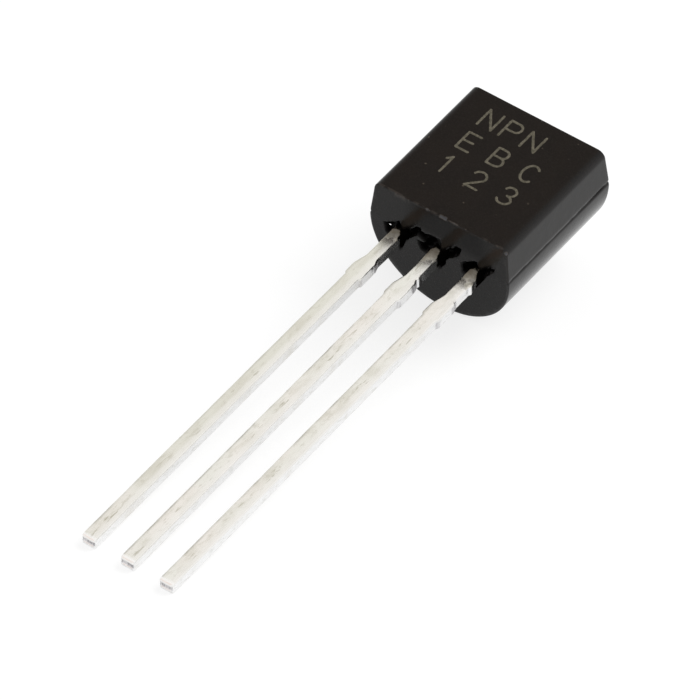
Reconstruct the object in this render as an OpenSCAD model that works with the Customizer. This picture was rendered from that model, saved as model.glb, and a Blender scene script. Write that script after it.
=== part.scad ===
// Small-signal transistor in a moulded three-lead package, lying on its round
// back with the marked flat face up. Units are millimetres.
//
// The pieces are drawn in the package's own frame: X across the three leads, Y
// along them with the body at +Y and the tips at -Y, Z out of the marked face.
// Y = 0 is the end of the body that the leads leave by, and Z = 0 is the mould's
// parting plane, in which the leads' front faces lie. at_rest() then lays the
// whole package down on the tips' back edges and the near edge of its back.

/* [Body] */
// Width across the parting plane, which is also the round back's diameter
body_w = 4.57; // [4.4:0.01:5.6]
// Width of the marked face, measured before its long edges are rounded
flat_w = 4.32; // [3.6:0.01:4.5]
// Length of the body along the leads
body_l = 4.66; // [3.8:0.01:6]
// Depth from the marked face back to the parting plane
front_depth = 1.16; // [0.9:0.01:1.6]
// Straight side between the parting plane and the start of the round back
back_side = 0.105; // [0.02:0.005:0.5]
// Radius that rounds the long edges of the marked face
flat_edge_r = 0.25; // [0.05:0.01:0.45]
// Draft angle of both ends in front of the parting plane
front_draft = 4; // [0.5:0.5:8]
// Draft angle of both ends behind the parting plane
back_draft = 3; // [0.5:0.5:6]

/* [Lead exits] */
// Width of the broken-out pocket around each lead
exit_w = 1.06; // [0.7:0.01:1.15]
// Height of the pocket in front of the parting plane
exit_front = 0.17; // [0.05:0.01:0.5]
// Height of the pocket behind the leads' back faces
exit_back = 0.1; // [0.05:0.01:0.5]
// Depth of the pocket into the end of the body
exit_depth = 0.08; // [0.03:0.01:0.2]

/* [Leads] */
// Distance between the leads' centre lines
lead_pitch = 1.27; // [1.2:0.01:1.5]
// Width of a lead
lead_w = 0.43; // [0.36:0.01:0.55]
// Thickness of a lead, which is the lead frame's sheet thickness
lead_t = 0.36; // [0.3:0.01:0.5]
// Length of the leads from the end of the body to their tips
lead_l = 13.65; // [8:0.05:16.5]
// Width of the neck between the body and the sheared dam bar
neck_w = 0.38; // [0.3:0.01:0.5]
// Length of the neck before it flares to the dam bar
neck_l = 1.3; // [0.8:0.01:2]
// Length of the flare
flare_l = 0.42; // [0.2:0.01:0.8]
// Length of the sheared dam-bar stubs along the lead
dam_l = 0.4; // [0.2:0.01:0.7]
// How far each stub stands out from the lead's side
dam_step = 0.05; // [0.02:0.01:0.12]

/* [Lead frame inside the body] */
// Width of each post behind its lead
post_w = 0.6; // [0.45:0.01:0.7]
// Depth of the notches that lock a post in the moulding
lock_depth = 0.1; // [0.04:0.01:0.15]
// Length of a lock notch along the post
lock_l = 0.3; // [0.15:0.01:0.4]
// Distance from the end of the body to the lock notches
lock_y = 0.5; // [0.3:0.01:0.7]
// Width of the die paddle, inwards from its post's outer side
paddle_w = 1.95; // [1.5:0.01:2.2]
// Length of the die paddle along the package
paddle_l = 1.5; // [0.9:0.01:1.8]
// Moulding between the paddle and the far end of the body
top_cover = 0.8; // [0.4:0.01:1.2]
// Gap between the paddle and the other two posts' heads
frame_gap = 0.3; // [0.15:0.01:0.4]
// Width of the base post's head
base_head_w = 0.95; // [0.7:0.01:1.05]
// Length of the base post's head
base_head_l = 0.62; // [0.3:0.01:0.9]
// Length of the emitter post's head
emitter_head_l = 1.1; // [0.6:0.01:1.4]

/* [Die] */
// Side of the square silicon die
die_w = 0.45; // [0.3:0.01:0.7]
// Thickness of the die
die_t = 0.15; // [0.08:0.01:0.25]
// Thickness of the die-attach layer under the die
attach_t = 0.02; // [0.01:0.005:0.05]
// How far the die-attach layer reaches out around the die
attach_edge = 0.03; // [0.01:0.005:0.08]

/* [Bond wires] */
// Diameter of the bond wires
wire_d = 0.03; // [0.02:0.001:0.05]
// Height of a wire's loop above the die
loop_h = 0.22; // [0.1:0.01:0.4]
// Diameter of the ball bond on the die
ball_d = 0.085; // [0.06:0.005:0.12]
// Height of the ball bond
ball_h = 0.03; // [0.015:0.005:0.05]
// Width of the stitch bond on the post
stitch_w = 0.07; // [0.05:0.005:0.1]
// Height of the stitch bond
stitch_h = 0.012; // [0.006:0.001:0.02]
// Length of the stitch bond
stitch_l = 0.09; // [0.05:0.005:0.15]

/* [Hidden] */

// Smoothness of the round back and of the rounded edges
back_fn = 96;
edge_fn = 48;
// Extra length with which a cut passes through a surface
cut = 0.2;
// Sides of a bond wire and rings along its loop
wire_sides = 8;
loop_rings = 14;

back_r = body_w / 2;
back_depth = back_side + back_r;
// How far the ends lean in at the marked face and at the bottom of the back
front_inset = front_depth * tan(front_draft);
back_inset = back_depth * tan(back_draft);

// Rest pose: the tips' back edges and the near edge of the back share one plane
tilt = atan((back_depth - lead_t) / (lead_l + back_inset));
rest_z = lead_l * sin(tilt) + lead_t * cos(tilt);
low_y = -lead_l * cos(tilt);
high_y = max(body_l * cos(tilt),
             (body_l - back_inset) * cos(tilt) + back_depth * sin(tilt));
rest_y = -(low_y + high_y) / 2;

// Lead order, seen on the marked face with the leads down, is emitter, base,
// collector from left to right
emitter_x = -lead_pitch;
base_x = 0;
collector_x = lead_pitch;

paddle_y = body_l - top_cover - paddle_l;
paddle_right = collector_x + post_w / 2;
paddle_left = paddle_right - paddle_w;
die_x = (paddle_left + paddle_right) / 2;
die_y = paddle_y + paddle_l / 2;
die_top = attach_t + die_t;

base_post_l = paddle_y - frame_gap;
emitter_left = emitter_x - post_w / 2;
emitter_right = paddle_left - frame_gap;

// Bond pads on the die, and where each wire lands on its post's head
pad_offset = die_w / 5;
base_pad = [die_x - pad_offset, die_y - pad_offset];
base_land = [base_x, base_post_l - base_head_l / 2];
emitter_pad = [die_x - pad_offset, die_y + pad_offset];
emitter_land = [(emitter_left + emitter_right) / 2,
                paddle_y + emitter_head_l / 2];

// Lays the package down at rest, with the origin under the middle of its box
module at_rest() {
    translate([0, rest_y, rest_z]) rotate([tilt, 0, 0]) children();
}

// ---- Body ----

// Cross-section of the body in X and Z: a round back with short straight
// sides, and a front that narrows to the marked face
module body_section() {
    side = [(body_w - flat_w) / 2, -front_depth];
    slope = side / norm(side);
    corner_angle = acos(-slope.x);
    round_l = flat_edge_r / tan(corner_angle / 2);
    side_end = [flat_w / 2, front_depth] + round_l * slope;
    flat_end = flat_w / 2 - round_l;
    round_z = front_depth - flat_edge_r;
    translate([0, -back_side]) circle(r = back_r, $fn = back_fn);
    polygon([
        [-back_r, -back_side], [back_r, -back_side], [back_r, 0],
        side_end, [flat_end, round_z], [flat_end, front_depth],
        [-flat_end, front_depth], [-flat_end, round_z],
        [-side_end.x, side_end.y], [-back_r, 0]
    ]);
    for (s = [-1, 1]) {
        translate([s * flat_end, round_z]) circle(r = flat_edge_r, $fn = edge_fn);
    }
}

// The body seen from the side, in Y and Z, with both ends drafted both ways
// from the parting plane
module body_side_view() {
    polygon([
        [0, 0], [front_inset, front_depth],
        [body_l - front_inset, front_depth], [body_l, 0],
        [body_l - back_inset, -back_depth], [back_inset, -back_depth]
    ]);
}

// The outer form of the moulding, still solid
module moulding() {
    intersection() {
        translate([0, body_l, 0]) rotate([90, 0, 0])
            linear_extrude(body_l) body_section();
        translate([-back_r - cut, 0, 0]) rotate([90, 0, 90])
            linear_extrude(body_w + 2 * cut) body_side_view();
    }
}

// Shallow pocket where the mould's flash broke away around a lead
module exit_pocket(x) {
    translate([x - exit_w / 2, -cut, -lead_t - exit_back])
        cube([exit_w, exit_depth + cut, exit_front + lead_t + exit_back]);
}

module body() {
    color("#2a2622") at_rest() difference() {
        moulding();
        for (x = [emitter_x, base_x, collector_x]) exit_pocket(x);
        emitter_form();
        base_form();
        collector_form();
        attach_form();
        die_form();
        base_wire_form();
        emitter_wire_form();
    }
}

// ---- Leads ----

// Outline of a lead from its root in the post to its tip, about X = 0
module lead_outline() {
    flare_y = -neck_l;
    dam_y = flare_y - flare_l;
    bar_y = dam_y - dam_l;
    dam_w = lead_w + 2 * dam_step;
    half = [[neck_w / 2, lock_y], [neck_w / 2, flare_y], [dam_w / 2, dam_y],
            [dam_w / 2, bar_y], [lead_w / 2, bar_y - dam_step],
            [lead_w / 2, -lead_l]];
    polygon(concat(half, [for (i = [len(half) - 1 : -1 : 0]) [-half[i].x, half[i].y]]));
}

// A post inside the body, from the bottom of the exit pocket to y1, with a lock
// notch in each side
module post_outline(y1) {
    difference() {
        translate([-post_w / 2, exit_depth]) square([post_w, y1 - exit_depth]);
        for (s = [-1, 1]) {
            translate([s * post_w / 2 - lock_depth, lock_y])
                square([2 * lock_depth, lock_l]);
        }
    }
}

// Stamps an outline out of the lead frame's sheet
module stamped() {
    translate([0, 0, -lead_t]) linear_extrude(lead_t) children();
}

module lead_and_post(x, y1) {
    translate([x, 0, 0]) {
        stamped() lead_outline();
        stamped() post_outline(y1);
    }
}

// Head of a post, between two X values and along Y
module head(x0, x1, y0, along) {
    stamped() translate([x0, y0]) square([x1 - x0, along]);
}

module emitter_form() {
    lead_and_post(emitter_x, paddle_y + emitter_head_l);
    head(emitter_left, emitter_right, paddle_y, emitter_head_l);
}

module base_form() {
    lead_and_post(base_x, base_post_l);
    head(base_x - base_head_w / 2, base_x + base_head_w / 2,
         base_post_l - base_head_l, base_head_l);
}

module collector_form() {
    lead_and_post(collector_x, paddle_y + paddle_l);
    head(paddle_left, paddle_right, paddle_y, paddle_l);
}

module emitter_lead() {
    color("silver") at_rest() emitter_form();
}

module base_lead() {
    color("silver") at_rest() base_form();
}

module collector_lead() {
    color("silver") at_rest() collector_form();
}

// ---- Die ----

module attach_form() {
    attach_w = die_w + 2 * attach_edge;
    translate([die_x - attach_w / 2, die_y - attach_w / 2, 0])
        cube([attach_w, attach_w, attach_t]);
}

module die_form() {
    translate([die_x - die_w / 2, die_y - die_w / 2, attach_t])
        cube([die_w, die_w, die_t]);
}

module die_attach() {
    color("gainsboro") at_rest() attach_form();
}

module die() {
    color("slategray") at_rest() die_form();
}

// ---- Bond wires ----

// Point and derivative of a cubic curve with control points c at t
function curve_at(c, t) =
    pow(1 - t, 3) * c[0] + 3 * t * pow(1 - t, 2) * c[1]
    + 3 * t * t * (1 - t) * c[2] + pow(t, 3) * c[3];
function curve_slope(c, t) =
    3 * pow(1 - t, 2) * (c[1] - c[0]) + 6 * t * (1 - t) * (c[2] - c[1])
    + 3 * t * t * (c[3] - c[2]);
function unit(v) = v / norm(v);

// Rings of a wire that spans a length, each [[along, up], direction, half
// width, half height]: the ball, the loop, and the flattened stitch
function wire_rings(span) =
    let (r = wire_d / 2, up = [0, 1],
         foot = [span - stitch_l / 2, stitch_h / 2],
         c = [[0, die_top + ball_h], [0, die_top + 1.35 * loop_h],
              [0.45 * span, die_top + 1.25 * loop_h], foot])
    concat(
        [[[0, die_top], up, 0.42 * ball_d, 0.42 * ball_d],
         [[0, die_top + 0.4 * ball_h], up, ball_d / 2, ball_d / 2],
         [[0, die_top + 0.85 * ball_h], up, 0.36 * ball_d, 0.36 * ball_d],
         [[0, die_top + ball_h], up, r, r]],
        [for (i = [1 : loop_rings - 1]) let (t = i / loop_rings)
            [curve_at(c, t), unit(curve_slope(c, t)), r, r]],
        [[foot, [1, 0], stitch_w / 2, stitch_h / 2],
         [foot + [stitch_l, 0], [1, 0], stitch_w / 2, stitch_h / 2]]);

// Corners of one ring. Half a step of turn sets a flat of the ring underneath,
// and the scale puts that flat a half height below the centre line.
function ring_points(ring) =
    let (flat = 1 / cos(180 / wire_sides), d = ring[1])
    [for (k = [0 : wire_sides - 1])
        let (a = (k + 0.5) * 360 / wire_sides,
             w = ring[2] * flat * cos(a), h = ring[3] * flat * sin(a))
        [ring[0].x - d.y * h, w, ring[0].y + d.x * h]];

// A bond wire from a pad on the die to its landing on a post's head
module bond_wire(pad, land) {
    way = land - pad;
    rings = wire_rings(norm(way));
    n = wire_sides;
    last = len(rings) - 1;
    points = [for (ring = rings) each ring_points(ring)];
    walls = [for (i = [0 : last - 1], k = [0 : n - 1])
        let (a = i * n + k, b = i * n + (k + 1) % n)
        each [[a, b, b + n], [a, b + n, a + n]]];
    caps = [[for (k = [n - 1 : -1 : 0]) k], [for (k = [0 : n - 1]) last * n + k]];
    translate([pad.x, pad.y, 0]) rotate([0, 0, atan2(way.y, way.x)])
        polyhedron(points, concat(walls, caps));
}

module base_wire_form() {
    bond_wire(base_pad, base_land);
}

module emitter_wire_form() {
    bond_wire(emitter_pad, emitter_land);
}

module base_wire() {
    color("goldenrod") at_rest() base_wire_form();
}

module emitter_wire() {
    color("goldenrod") at_rest() emitter_wire_form();
}

body();
emitter_lead();
base_lead();
collector_lead();
die_attach();
die();
base_wire();
emitter_wire();
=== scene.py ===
import math

import bpy
import numpy as np
from mathutils import Matrix, Vector, noise
from mathutils.geometry import delaunay_2d_cdt


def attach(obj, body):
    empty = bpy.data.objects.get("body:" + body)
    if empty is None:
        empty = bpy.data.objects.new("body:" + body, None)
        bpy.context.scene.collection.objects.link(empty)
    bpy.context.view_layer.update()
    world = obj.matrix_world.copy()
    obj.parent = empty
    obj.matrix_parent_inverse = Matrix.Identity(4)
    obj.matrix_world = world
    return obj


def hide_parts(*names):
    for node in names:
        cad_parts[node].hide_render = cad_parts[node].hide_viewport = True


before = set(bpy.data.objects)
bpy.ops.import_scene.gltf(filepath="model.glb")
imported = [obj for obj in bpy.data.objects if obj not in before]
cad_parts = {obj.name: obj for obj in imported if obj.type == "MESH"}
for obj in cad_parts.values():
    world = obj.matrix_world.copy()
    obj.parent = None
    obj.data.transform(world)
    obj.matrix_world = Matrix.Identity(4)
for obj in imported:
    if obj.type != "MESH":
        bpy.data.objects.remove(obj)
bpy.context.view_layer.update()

# Looks of the small-signal transistor. Sizes are millimetres in the package's own
# frame, as in its CAD: X across the leads, Y along them with the body at +Y, Z out
# of the marked face, Y = 0 at the end the leads leave by and Z = 0 at the parting
# plane. at_rest() takes them to metres in the row frame.
MM = 0.001

# ---- The part's sizes, the same as the CAD's ----
BODY_W, FLAT_W, BODY_L = 4.57, 4.32, 4.66
FRONT_DEPTH, BACK_SIDE, FLAT_EDGE_R = 1.16, 0.105, 0.25
FRONT_DRAFT, BACK_DRAFT = math.radians(4), math.radians(3)
LEAD_PITCH, LEAD_W, LEAD_T, LEAD_L = 1.27, 0.43, 0.36, 13.65
NECK_W, NECK_L, FLARE_L, DAM_L, DAM_STEP = 0.38, 1.3, 0.42, 0.4, 0.05
POST_W, LOCK_DEPTH, LOCK_L, LOCK_Y = 0.6, 0.1, 0.3, 0.5
PADDLE_W, PADDLE_L, TOP_COVER, FRAME_GAP = 1.95, 1.5, 0.8, 0.3
BASE_HEAD_W, BASE_HEAD_L, EMITTER_HEAD_L = 0.95, 0.62, 1.1

BACK_R = BODY_W / 2
BACK_DEPTH = BACK_SIDE + BACK_R
FRONT_INSET = FRONT_DEPTH * math.tan(FRONT_DRAFT)
BACK_INSET = BACK_DEPTH * math.tan(BACK_DRAFT)
TILT = math.atan((BACK_DEPTH - LEAD_T) / (LEAD_L + BACK_INSET))
REST_Z = LEAD_L * math.sin(TILT) + LEAD_T * math.cos(TILT)
REST_Y = (LEAD_L * math.cos(TILT) - (BODY_L - BACK_INSET) * math.cos(TILT)
          - BACK_DEPTH * math.sin(TILT)) / 2
PADDLE_Y = BODY_L - TOP_COVER - PADDLE_L
PADDLE_LEFT = LEAD_PITCH + POST_W / 2 - PADDLE_W
BASE_POST_L = PADDLE_Y - FRAME_GAP

# ---- Camera, in the row frame: degrees, millimetres ----
VIEW_AZIMUTH, VIEW_ELEVATION, VIEW_ROLL = 32.29, 40.501, 6.024
VIEW_DISTANCE, VIEW_LENS, VIEW_SENSOR = 214.98, 419.39, 36.0
VIEW_AIM = (0.16, 0.222, 1.509)
VIEW_NEAR, VIEW_FAR = 0.005, 20.0  # clipping, in metres

# ---- Light ----
WORLD_LIGHT, KEY_LIGHT, KEY_SOFTNESS = 0.56, 1.6, math.radians(45)
KEY_FROM = (0.35, 0.6, 0.75)
FLOOR_HALF = 1.5  # half the floor's side, in metres
# The floor's own colour and the light added to it, for rays off gloss and metal and
# for rays from the camera
FLOOR_COLOUR, FLOOR_LIFT = 0.38, 0.59
SEEN_COLOUR, SEEN_LIFT = 0.3, 0.77
# A dim, warm part of the room at the front, which only gloss and metal show: the way
# to it, its colour, and the angles from its middle between which it fades
ROOM_AT, ROOM_COLOUR = (-0.406, -0.727, 0.554), (0.84, 0.64, 0.55)
ROOM_INNER, ROOM_OUTER = math.radians(16), math.radians(28)


def at_rest(points):
    """Package millimetres to row-frame metres."""
    p = np.asarray(points, float).reshape(-1, 3)
    c, s = math.cos(TILT), math.sin(TILT)
    return np.column_stack([p[:, 0], p[:, 1] * c - p[:, 2] * s + REST_Y,
                            p[:, 1] * s + p[:, 2] * c + REST_Z]) * MM


def ramp(v, lo, hi):
    """0 below lo, 1 above hi, and smooth between."""
    t = np.clip((np.asarray(v, float) - lo) / (hi - lo), 0, 1)
    return t * t * (3 - 2 * t)


def rough(points, size, seed, octaves=3):
    """Seeded noise, about -1 to 1, whose largest lumps are size mm across."""
    shift = Vector((seed * 7.31, seed * 3.17, seed * 5.71))
    return np.array([noise.fractal(Vector(p) / size + shift, 1.0, 2.0, octaves)
                     for p in np.asarray(points, float).reshape(-1, 3)])


def quarter_turn(points):
    """The sine and cosine at each of a number of points round a quarter turn."""
    return [(math.sin(a), math.cos(a)) for a in np.radians(np.linspace(0, 90, points))]


def mesh_piece(name, points, faces, material, masks=None, crease=math.radians(38)):
    """A mesh object from package points, with named masks per vertex."""
    mesh = bpy.data.meshes.new(name)
    mesh.from_pydata(at_rest(points).tolist(), [], faces)
    mesh.materials.append(material)
    for key, values in (masks or {}).items():
        layer = mesh.attributes.new(key, "FLOAT", "POINT")
        layer.data.foreach_set("value", np.asarray(values, np.float32))
    mesh.validate()
    mesh.update()
    mesh.shade_smooth()
    mesh.set_sharp_from_angle(angle=crease)
    piece = bpy.data.objects.new(name, mesh)
    bpy.context.scene.collection.objects.link(piece)
    return piece


def between_rings(rings, n, inward=False):
    """Four-sided faces between successive rings of n points."""
    faces = []
    for r in range(rings - 1):
        for i in range(n):
            j = (i + 1) % n
            quad = (r * n + i, r * n + j, (r + 1) * n + j, (r + 1) * n + i)
            faces.append(quad[:1] + quad[:0:-1] if inward else quad)
    return faces


def cap_faces(triangles, first, n, base, flip=False):
    """A cap's triangles: its first n points are a ring's, from first on, and the rest start at base."""
    faces = [[first + i if i < n else base + i - n for i in t] for t in triangles]
    return [t[::-1] for t in faces] if flip else faces


def fill(outline, spacing, keep=None):
    """Triangles inside an outline, with a grid of inner points, thinned by keep. Returns the points,
    outline first, and the triangles."""
    outline = np.asarray(outline, float)
    lo, hi = outline.min(0), outline.max(0)
    xs = np.arange(lo[0] + spacing / 2, hi[0], spacing)
    ys = np.arange(lo[1] + spacing / 2, hi[1], spacing)
    gx, gy = np.meshgrid(xs, ys)
    gx = gx + np.where(np.arange(len(ys)) % 2, spacing / 2, 0)[:, None]
    grid = np.column_stack([gx.ravel(), gy.ravel()])
    if keep is not None:
        grid = grid[keep(grid)]
    grid = grid[inside(grid, outline)]
    far = np.ones(len(grid), bool)
    for a, b in zip(outline, np.roll(outline, -1, 0)):
        near = np.abs(grid - (a + b) / 2).max(1) < np.linalg.norm(b - a) + spacing
        d = segment_distance(grid[near], a, b)
        far[np.flatnonzero(near)[d < 0.6 * spacing]] = False
    points = np.vstack([outline, grid[far]])
    n = len(outline)
    edges = [(i, (i + 1) % n) for i in range(n)]
    out = delaunay_2d_cdt([Vector(p) for p in points], edges, [list(range(n))], 1, 1e-9)
    source = [ids[0] if ids else -1 for ids in out[3]]
    return points, [[source[i] for i in t] for t in out[2] if min(source[i] for i in t) >= 0]


def scattered(grid, cells, one_in):
    """An even, scattered share of grid points, about one in so many."""
    return (grid * cells).round().astype(int).sum(1) % one_in == 0


def inside(points, outline):
    """Which points lie inside a closed outline."""
    hit = np.zeros(len(points), bool)
    x, y = points[:, 0], points[:, 1]
    for (ax, ay), (bx, by) in zip(outline, np.roll(outline, -1, 0)):
        cross = (ay > y) != (by > y)
        with np.errstate(divide="ignore", invalid="ignore"):
            hit ^= cross & (x < (bx - ax) * (y - ay) / (by - ay) + ax)
    return hit


def segment_distance(points, a, b):
    """Distance of each point from the segment between a and b."""
    a, b = np.asarray(a, float), np.asarray(b, float)
    ab = b - a
    t = np.clip(((points - a) @ ab) / max(ab @ ab, 1e-12), 0, 1)
    return np.linalg.norm(points - a - t[:, None] * ab, axis=1)


# ---- Materials ----

class Paint:
    """Short calls for building one material's nodes."""

    def __init__(self, name, **values):
        self.material = bpy.data.materials.new(name)
        self.material.use_nodes = True
        self.tree = self.material.node_tree
        self.shader = self.tree.nodes["Principled BSDF"]
        self.surface = self.tree.nodes["Material Output"].inputs["Surface"]
        for key, v in values.items():
            self.shader.inputs[key.replace("_", " ")].default_value = v
        self.place = self.add("ShaderNodeTexCoord").outputs["Object"]

    def add(self, kind, **settings):
        node = self.tree.nodes.new(kind)
        for key, v in settings.items():
            setattr(node, key, v)
        return node

    def set(self, socket, v):
        if isinstance(v, bpy.types.NodeSocket):
            self.tree.links.new(v, socket)
        elif v is not None:
            socket.default_value = v

    def noise(self, size, detail=3.0, roughness=0.55, stretch=(1, 1, 1), seed=0.0):
        """Noise from 0 to 1 with features about size mm across, drawn out along an axis by stretch."""
        m = self.add("ShaderNodeMapping")
        self.set(m.inputs["Vector"], self.place)
        m.inputs["Location"].default_value = (seed, seed * 1.7, seed * 0.6)
        m.inputs["Rotation"].default_value = (-TILT, 0, 0)
        m.inputs["Scale"].default_value = [1 / (size * MM * s) for s in stretch]
        n = self.add("ShaderNodeTexNoise")
        self.set(n.inputs["Vector"], m.outputs[0])
        n.inputs["Scale"].default_value = 1.0
        n.inputs["Detail"].default_value = detail
        n.inputs["Roughness"].default_value = roughness
        return n.outputs[0]

    def specks(self, size, share, seed):
        """Sparse round spots: 1 inside a spot, 0 elsewhere. Cells are size mm wide, and share is a
        spot's radius in cells."""
        m = self.add("ShaderNodeMapping")
        self.set(m.inputs["Vector"], self.place)
        m.inputs["Location"].default_value = (seed, seed * 2.3, seed * 0.4)
        m.inputs["Scale"].default_value = [1 / (size * MM)] * 3
        v = self.add("ShaderNodeTexVoronoi")
        self.set(v.inputs["Vector"], m.outputs[0])
        v.inputs["Scale"].default_value = 1.0
        return self.scaled(v.outputs["Distance"], share, share * 0.5)

    def mask(self, name):
        return self.add("ShaderNodeAttribute", attribute_name=name).outputs["Fac"]

    def scaled(self, v, lo, hi, to=(0.0, 1.0)):
        """v taken smoothly from lo..hi to the two values of to, and held there outside."""
        m = self.add("ShaderNodeMapRange", interpolation_type="SMOOTHSTEP")
        for i, x in enumerate((v, lo, hi, *to)):
            self.set(m.inputs[i], x)
        return m.outputs[0]

    def math(self, operation, a, b=None):
        m = self.add("ShaderNodeMath", operation=operation, use_clamp=operation == "SUBTRACT")
        self.set(m.inputs[0], a)
        self.set(m.inputs[1], b)
        return m.outputs[0]

    def times(self, a, b):
        return self.math("MULTIPLY", a, b)

    def blend(self, share, a, b):
        """Colour a where share is 0 and b where it is 1."""
        m = self.add("ShaderNodeMix", data_type="RGBA")
        self.set(m.inputs[0], share)
        self.set(m.inputs[6], a)
        self.set(m.inputs[7], b)
        return m.outputs[2]

    def second_shader(self, colour, normal, roughness, specular):
        """Another finish for part of the surface."""
        shader = self.add("ShaderNodeBsdfPrincipled")
        self.set(shader.inputs["Base Color"], colour)
        self.set(shader.inputs["Normal"], normal)
        shader.inputs["Roughness"].default_value = roughness
        shader.inputs["Specular IOR Level"].default_value = specular
        return shader.outputs[0]

    def mix_shaders(self, share, a, b):
        """Shader a where share is 0 and b where it is 1."""
        m = self.add("ShaderNodeMixShader")
        self.set(m.inputs[0], share)
        self.set(m.inputs[1], a)
        self.set(m.inputs[2], b)
        return m.outputs[0]

    def bump(self, height, depth, normal=None):
        """Bump of depth mm, on top of another normal if one is given."""
        b = self.add("ShaderNodeBump")
        b.inputs["Strength"].default_value = 1.0
        b.inputs["Distance"].default_value = depth * MM
        self.set(b.inputs["Height"], height)
        self.set(b.inputs["Normal"], normal)
        return b.outputs[0]

    def finish(self, colour, normal):
        """Gives the main shader its colour and normal, and returns the material."""
        self.set(self.shader.inputs["Base Color"], colour)
        self.set(self.shader.inputs["Normal"], normal)
        return self.material


def rgb(r, g, b):
    """A colour written in 0 to 255 display values."""
    return tuple(((v / 255 + 0.055) / 1.055) ** 2.4 if v > 10 else v / 255 / 12.92
                 for v in (r, g, b)) + (1.0,)


def moulding():
    """Black epoxy moulding compound: a satin marked face and smoother sides. A black, unreflecting finish
    covers the broken places and also paints shade; the paler edges are wear with painted highlights.
    """
    p = Paint("moulding", Roughness=0.07, Specular_IOR_Level=0.3)
    face, scar_and_shade, wear_and_highlight = p.mask("face"), p.mask("scar_and_shade"), p.mask("wear_and_highlight")
    colour = p.blend(p.scaled(p.noise(0.9, detail=4), 0.3, 0.7), rgb(20, 15, 11), rgb(24, 18, 13))
    colour = p.blend(p.scaled(face, 0.9, 0.5), colour, rgb(19, 18, 17))
    colour = p.blend(p.scaled(p.noise(0.035, detail=2), 0.4, 0.8), colour, rgb(32, 27, 23))
    # A few pale specks on the marked face
    sparse = p.scaled(p.noise(0.6, detail=1, seed=4.0), 0.48, 0.58)
    specks = p.times(p.specks(0.4, 0.105, seed=3.1), sparse)
    specks = p.times(specks, p.scaled(face, 0.7, 0.9, to=(0.0, 0.8)))
    colour = p.blend(specks, colour, rgb(84, 76, 66))
    # Paler tone of chips and scuffs, also used for the painted highlights along the edges
    wear_and_highlight_tone = p.blend(p.scaled(wear_and_highlight, 0.5, 1.0), rgb(104, 96, 90), rgb(88, 88, 92))
    colour = p.blend(wear_and_highlight, colour, wear_and_highlight_tone)
    fine = p.bump(p.noise(0.04, detail=2, seed=2.0), 0.0035)
    normal = p.bump(p.noise(0.35, detail=3, seed=6.0), 0.004, fine)
    satin = p.second_shader(colour, normal, roughness=0.55, specular=0.1)
    # Painted shade: this black, unreflecting finish also darkens the witness line's bottom, the end's
    # upper middle and lower half, and the broken places' hollows
    broken_and_shade = p.second_shader(rgb(5, 4, 4), normal, roughness=1.0, specular=0.0)
    sound = p.mix_shaders(face, p.shader.outputs[0], satin)
    p.set(p.surface, p.mix_shaders(scar_and_shade, sound, broken_and_shade))
    return p.finish(colour, normal)


def plate_colour(p, across, deep, cloud, fleck):
    """The tin's colour: clouded and flecked, with painted shade at the left edge, a painted highlight
    towards the right, and whiter on the sheared sides."""
    tarnish = p.mask("tarnish")
    warm = p.noise(1.1, detail=2, roughness=0.5, stretch=(1, 1.6, 1), seed=11.0)
    colour = p.blend(p.scaled(warm, 0.38, 0.62), rgb(234, 232, 224), rgb(238, 233, 226))
    colour = p.blend(tarnish, colour, rgb(222, 220, 208))
    colour = p.blend(p.scaled(cloud, 0.42, 0.72, to=(0.0, 0.7)), colour, rgb(212, 208, 195))
    colour = p.blend(p.scaled(fleck, 0.5, 0.8, to=(0.0, 0.5)), colour, rgb(188, 183, 168))
    # Painted highlight: the front lightens towards its right side
    colour = p.blend(p.scaled(across, -0.05, 0.6, to=(0.0, 0.62)), colour, rgb(240, 237, 232))
    # A few dark streaks near the middle
    thin = p.noise(0.075, detail=2, roughness=0.5, stretch=(1, 8, 1), seed=23.0)
    streaks = p.times(p.scaled(thin, 0.54, 0.64), p.scaled(p.noise(1.3, detail=1, seed=34.0), 0.5, 0.62))
    middle = p.times(p.scaled(across, -0.5, -0.1), p.scaled(across, 0.6, 0.3))
    colour = p.blend(p.times(p.times(streaks, middle), 0.5), colour, rgb(150, 144, 118))
    # The sheared sides
    side = p.times(p.scaled(p.math("ABSOLUTE", across), 0.95, 1.0), p.scaled(deep, 0.1, 0.2))
    side_tone = p.blend(p.scaled(fleck, 0.45, 0.75), rgb(252, 252, 252), rgb(236, 236, 233))
    colour = p.blend(side, colour, side_tone)
    # Painted shade along the left long edge, in patches, and a painted highlight along the right one
    patches = p.noise(0.4, detail=4, roughness=0.65, stretch=(1, 2.2, 1), seed=17.0)
    left = p.times(p.scaled(across, -0.55, -0.9), p.scaled(patches, 0.35, 0.65, to=(0.1, 1.0)))
    left = p.times(left, p.scaled(deep, 0.34, 0.14))
    strength = p.scaled(tarnish, 0.0, 0.8, to=(0.6, 0.3))
    colour = p.blend(p.times(left, strength), colour, rgb(140, 138, 126))
    right = p.times(p.scaled(across, 0.82, 0.97), p.scaled(deep, 0.3, 0.15))
    return p.blend(p.times(right, 0.4), colour, rgb(254, 254, 252))


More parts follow.
